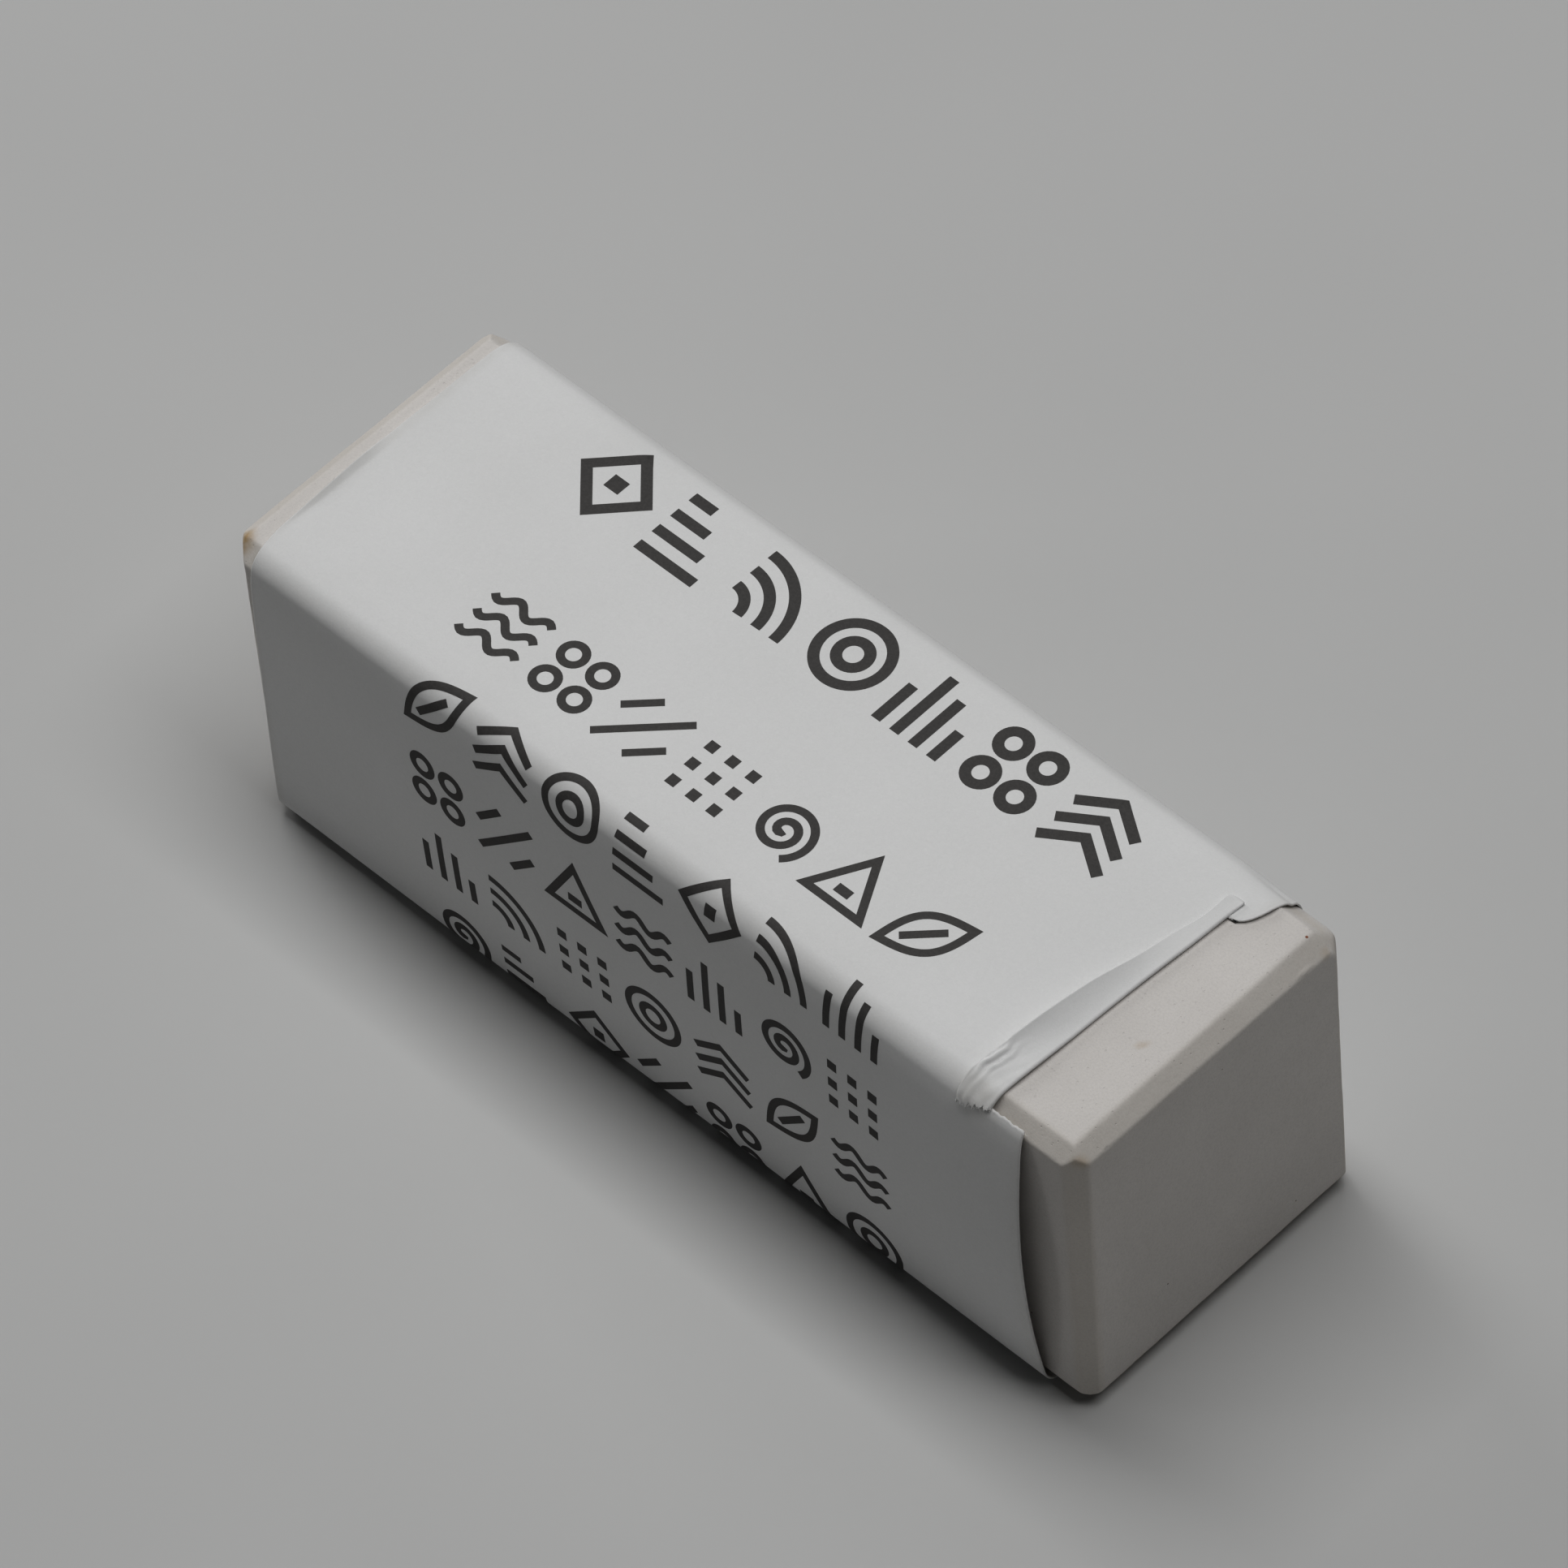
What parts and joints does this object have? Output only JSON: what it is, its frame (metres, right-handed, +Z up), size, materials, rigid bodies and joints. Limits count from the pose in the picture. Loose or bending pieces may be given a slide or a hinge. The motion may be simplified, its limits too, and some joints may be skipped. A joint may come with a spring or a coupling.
{
  "type": "dressing stone in a paper sleeve",
  "caption": "Chamfered bar of fine white abrasive for cleaning and dressing the face of a water whetstone, held in an open-ended printed paper sleeve that slides off lengthways.",
  "frame": {"origin": "centre of the underside of the whole object's box, which is the sleeve's underside straight below the middle of the bar", "axes": "+X along the bar, towards the end that sticks out of the sleeve; -Y out of the sleeve's front side, so the seam is on the +Y side; +Z up, out of the sleeve's top side"},
  "size_m": [0.075, 0.0276, 0.0269],
  "materials": {
    "stone": "matte, fine-grained abrasive, cream white",
    "paper": "matte uncoated white paper",
    "ink": "matte dark grey printing ink on the paper",
    "paste": "dried clear paste between two layers of paper"
  },
  "bodies": {
    "stone": {"stone_block": "stone"},
    "sleeve": {"paper_sleeve": "paper", "seam_glue": "paste"}
  },
  "joints": [
    {"name": "sleeve_slide", "type": "slide", "parent": "stone", "child": "sleeve", "axis": [1, 0, 0], "range_m": [-0.072, 0.0735]}
  ]
}
